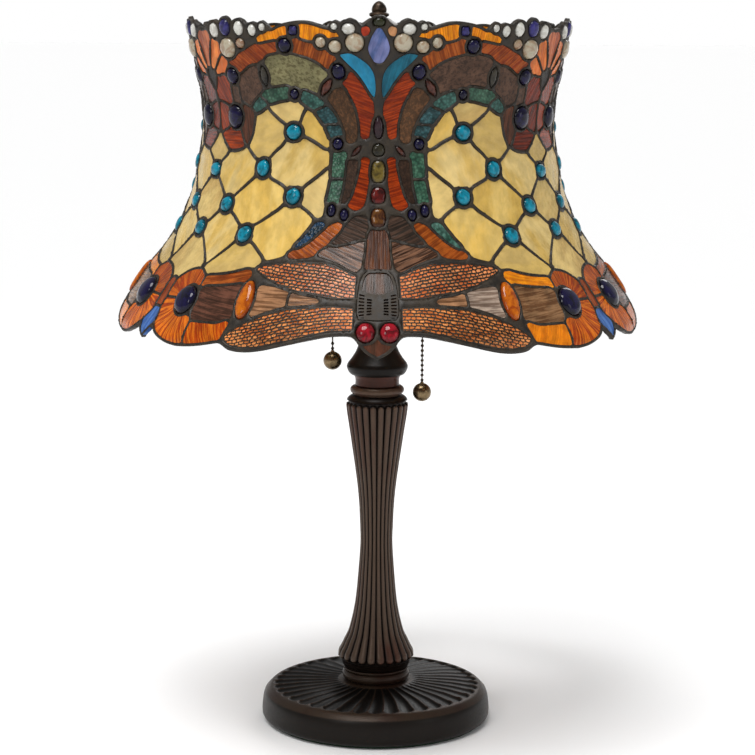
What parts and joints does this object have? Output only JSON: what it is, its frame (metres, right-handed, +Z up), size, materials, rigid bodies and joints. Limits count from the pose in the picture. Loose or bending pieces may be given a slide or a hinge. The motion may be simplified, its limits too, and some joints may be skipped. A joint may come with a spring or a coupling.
{
  "type": "stained glass table lamp",
  "caption": "Table lamp with a flared leaded-glass dragonfly shade, a fluted metal column on a ribbed round foot, sockets inside the shade and beaded pull chains.",
  "frame": {"origin": "centre of the foot's underside, on the table", "axes": "+Z up along the lamp pipe, the front of the lamp faces -Y, +X to the right seen from the front"},
  "size_m": [0.454, 0.454, 0.6411],
  "materials": {
    "dark_bronze": "dark mahogany bronze patina, satin",
    "felt": "felt",
    "iron": "rough cast",
    "bushing": "moulded",
    "wire": "insulated flex",
    "steel": "plated",
    "insulator": "pressed card",
    "bulb_glass": "frosted",
    "antique_brass": "aged, satin",
    "dragonfly_glass": "streaky art glass with dark solder",
    "wing_glass": "art glass under brass filigree",
    "eye_glass": "streaky art glass with dark solder",
    "cream_glass": "opalescent art glass with dark solder",
    "crown_glass": "art glass, jewels and pearls with dark solder"
  },
  "bodies": {
    "root": {"base_felt": "felt", "base_foot": "dark_bronze", "base_weight": "iron", "cord_bushing": "bushing", "internal_lead": "wire", "rod_nut": "steel", "lock_washer": "steel", "center_rod": "steel", "column_ring": "dark_bronze", "column": "dark_bronze", "neck_bead": "dark_bronze", "neck_collar": "dark_bronze", "husk": "dark_bronze", "cluster_body": "antique_brass", "socket_nipple_left": "steel", "socket_cap_left": "antique_brass", "socket_shell_left": "antique_brass", "socket_insert_left": "insulator", "bulb_left": "bulb_glass", "chain_guide_left": "antique_brass", "socket_nipple_right": "steel", "socket_cap_right": "antique_brass", "socket_shell_right": "antique_brass", "socket_insert_right": "insulator", "bulb_right": "bulb_glass", "chain_guide_right": "antique_brass", "riser_rod": "steel"},
    "shade": {"shade_spider": "antique_brass", "shade_band": "antique_brass", "vase_cap": "dark_bronze", "dragonfly_1": "dragonfly_glass", "wing_1_left": "wing_glass", "wing_1_right": "wing_glass", "eye_panel_1": "eye_glass", "lattice_panel_1": "cream_glass", "crown_1_left": "crown_glass", "crown_1_right": "crown_glass", "dragonfly_2": "dragonfly_glass", "wing_2_left": "wing_glass", "wing_2_right": "wing_glass", "eye_panel_2": "eye_glass", "lattice_panel_2": "cream_glass", "crown_2_left": "crown_glass", "crown_2_right": "crown_glass", "dragonfly_3": "dragonfly_glass", "wing_3_left": "wing_glass", "wing_3_right": "wing_glass", "eye_panel_3": "eye_glass", "lattice_panel_3": "cream_glass", "crown_3_left": "crown_glass", "crown_3_right": "crown_glass"},
    "finial": {"finial": "dark_bronze"},
    "pull_left": {"pull_link_left": "antique_brass"},
    "pull_right": {"pull_link_right": "antique_brass"},
    "chain_left": {"pull_chain_left": "antique_brass", "pull_ball_left": "antique_brass"},
    "chain_right": {"pull_chain_right": "antique_brass", "pull_ball_right": "antique_brass"}
  },
  "joints": [
    {"name": "shade_turn", "type": "hinge", "parent": "root", "child": "shade", "pos_m": [0, 0, 0.6], "axis": [0, 0, 1], "continuous": true},
    {"name": "finial_turn", "type": "hinge", "parent": "root", "child": "finial", "pos_m": [0, 0, 0.63], "axis": [0, 0, 1], "continuous": true},
    {"name": "pull_left", "type": "slide", "parent": "root", "child": "pull_left", "axis": [0, 0, -1], "range_m": [0, 0.008], "stiffness_N_per_m": 1500},
    {"name": "pull_right", "type": "slide", "parent": "root", "child": "pull_right", "axis": [0, 0, -1], "range_m": [0, 0.008], "stiffness_N_per_m": 1500},
    {"name": "swing_left", "type": "hinge", "parent": "pull_left", "child": "chain_left", "pos_m": [-0.0398, 0, 0.347], "axis": [1, 0, 0], "range_deg": [-25, 25]},
    {"name": "swing_right", "type": "hinge", "parent": "pull_right", "child": "chain_right", "pos_m": [0.0398, 0, 0.347], "axis": [1, 0, 0], "range_deg": [-25, 25]}
  ]
}
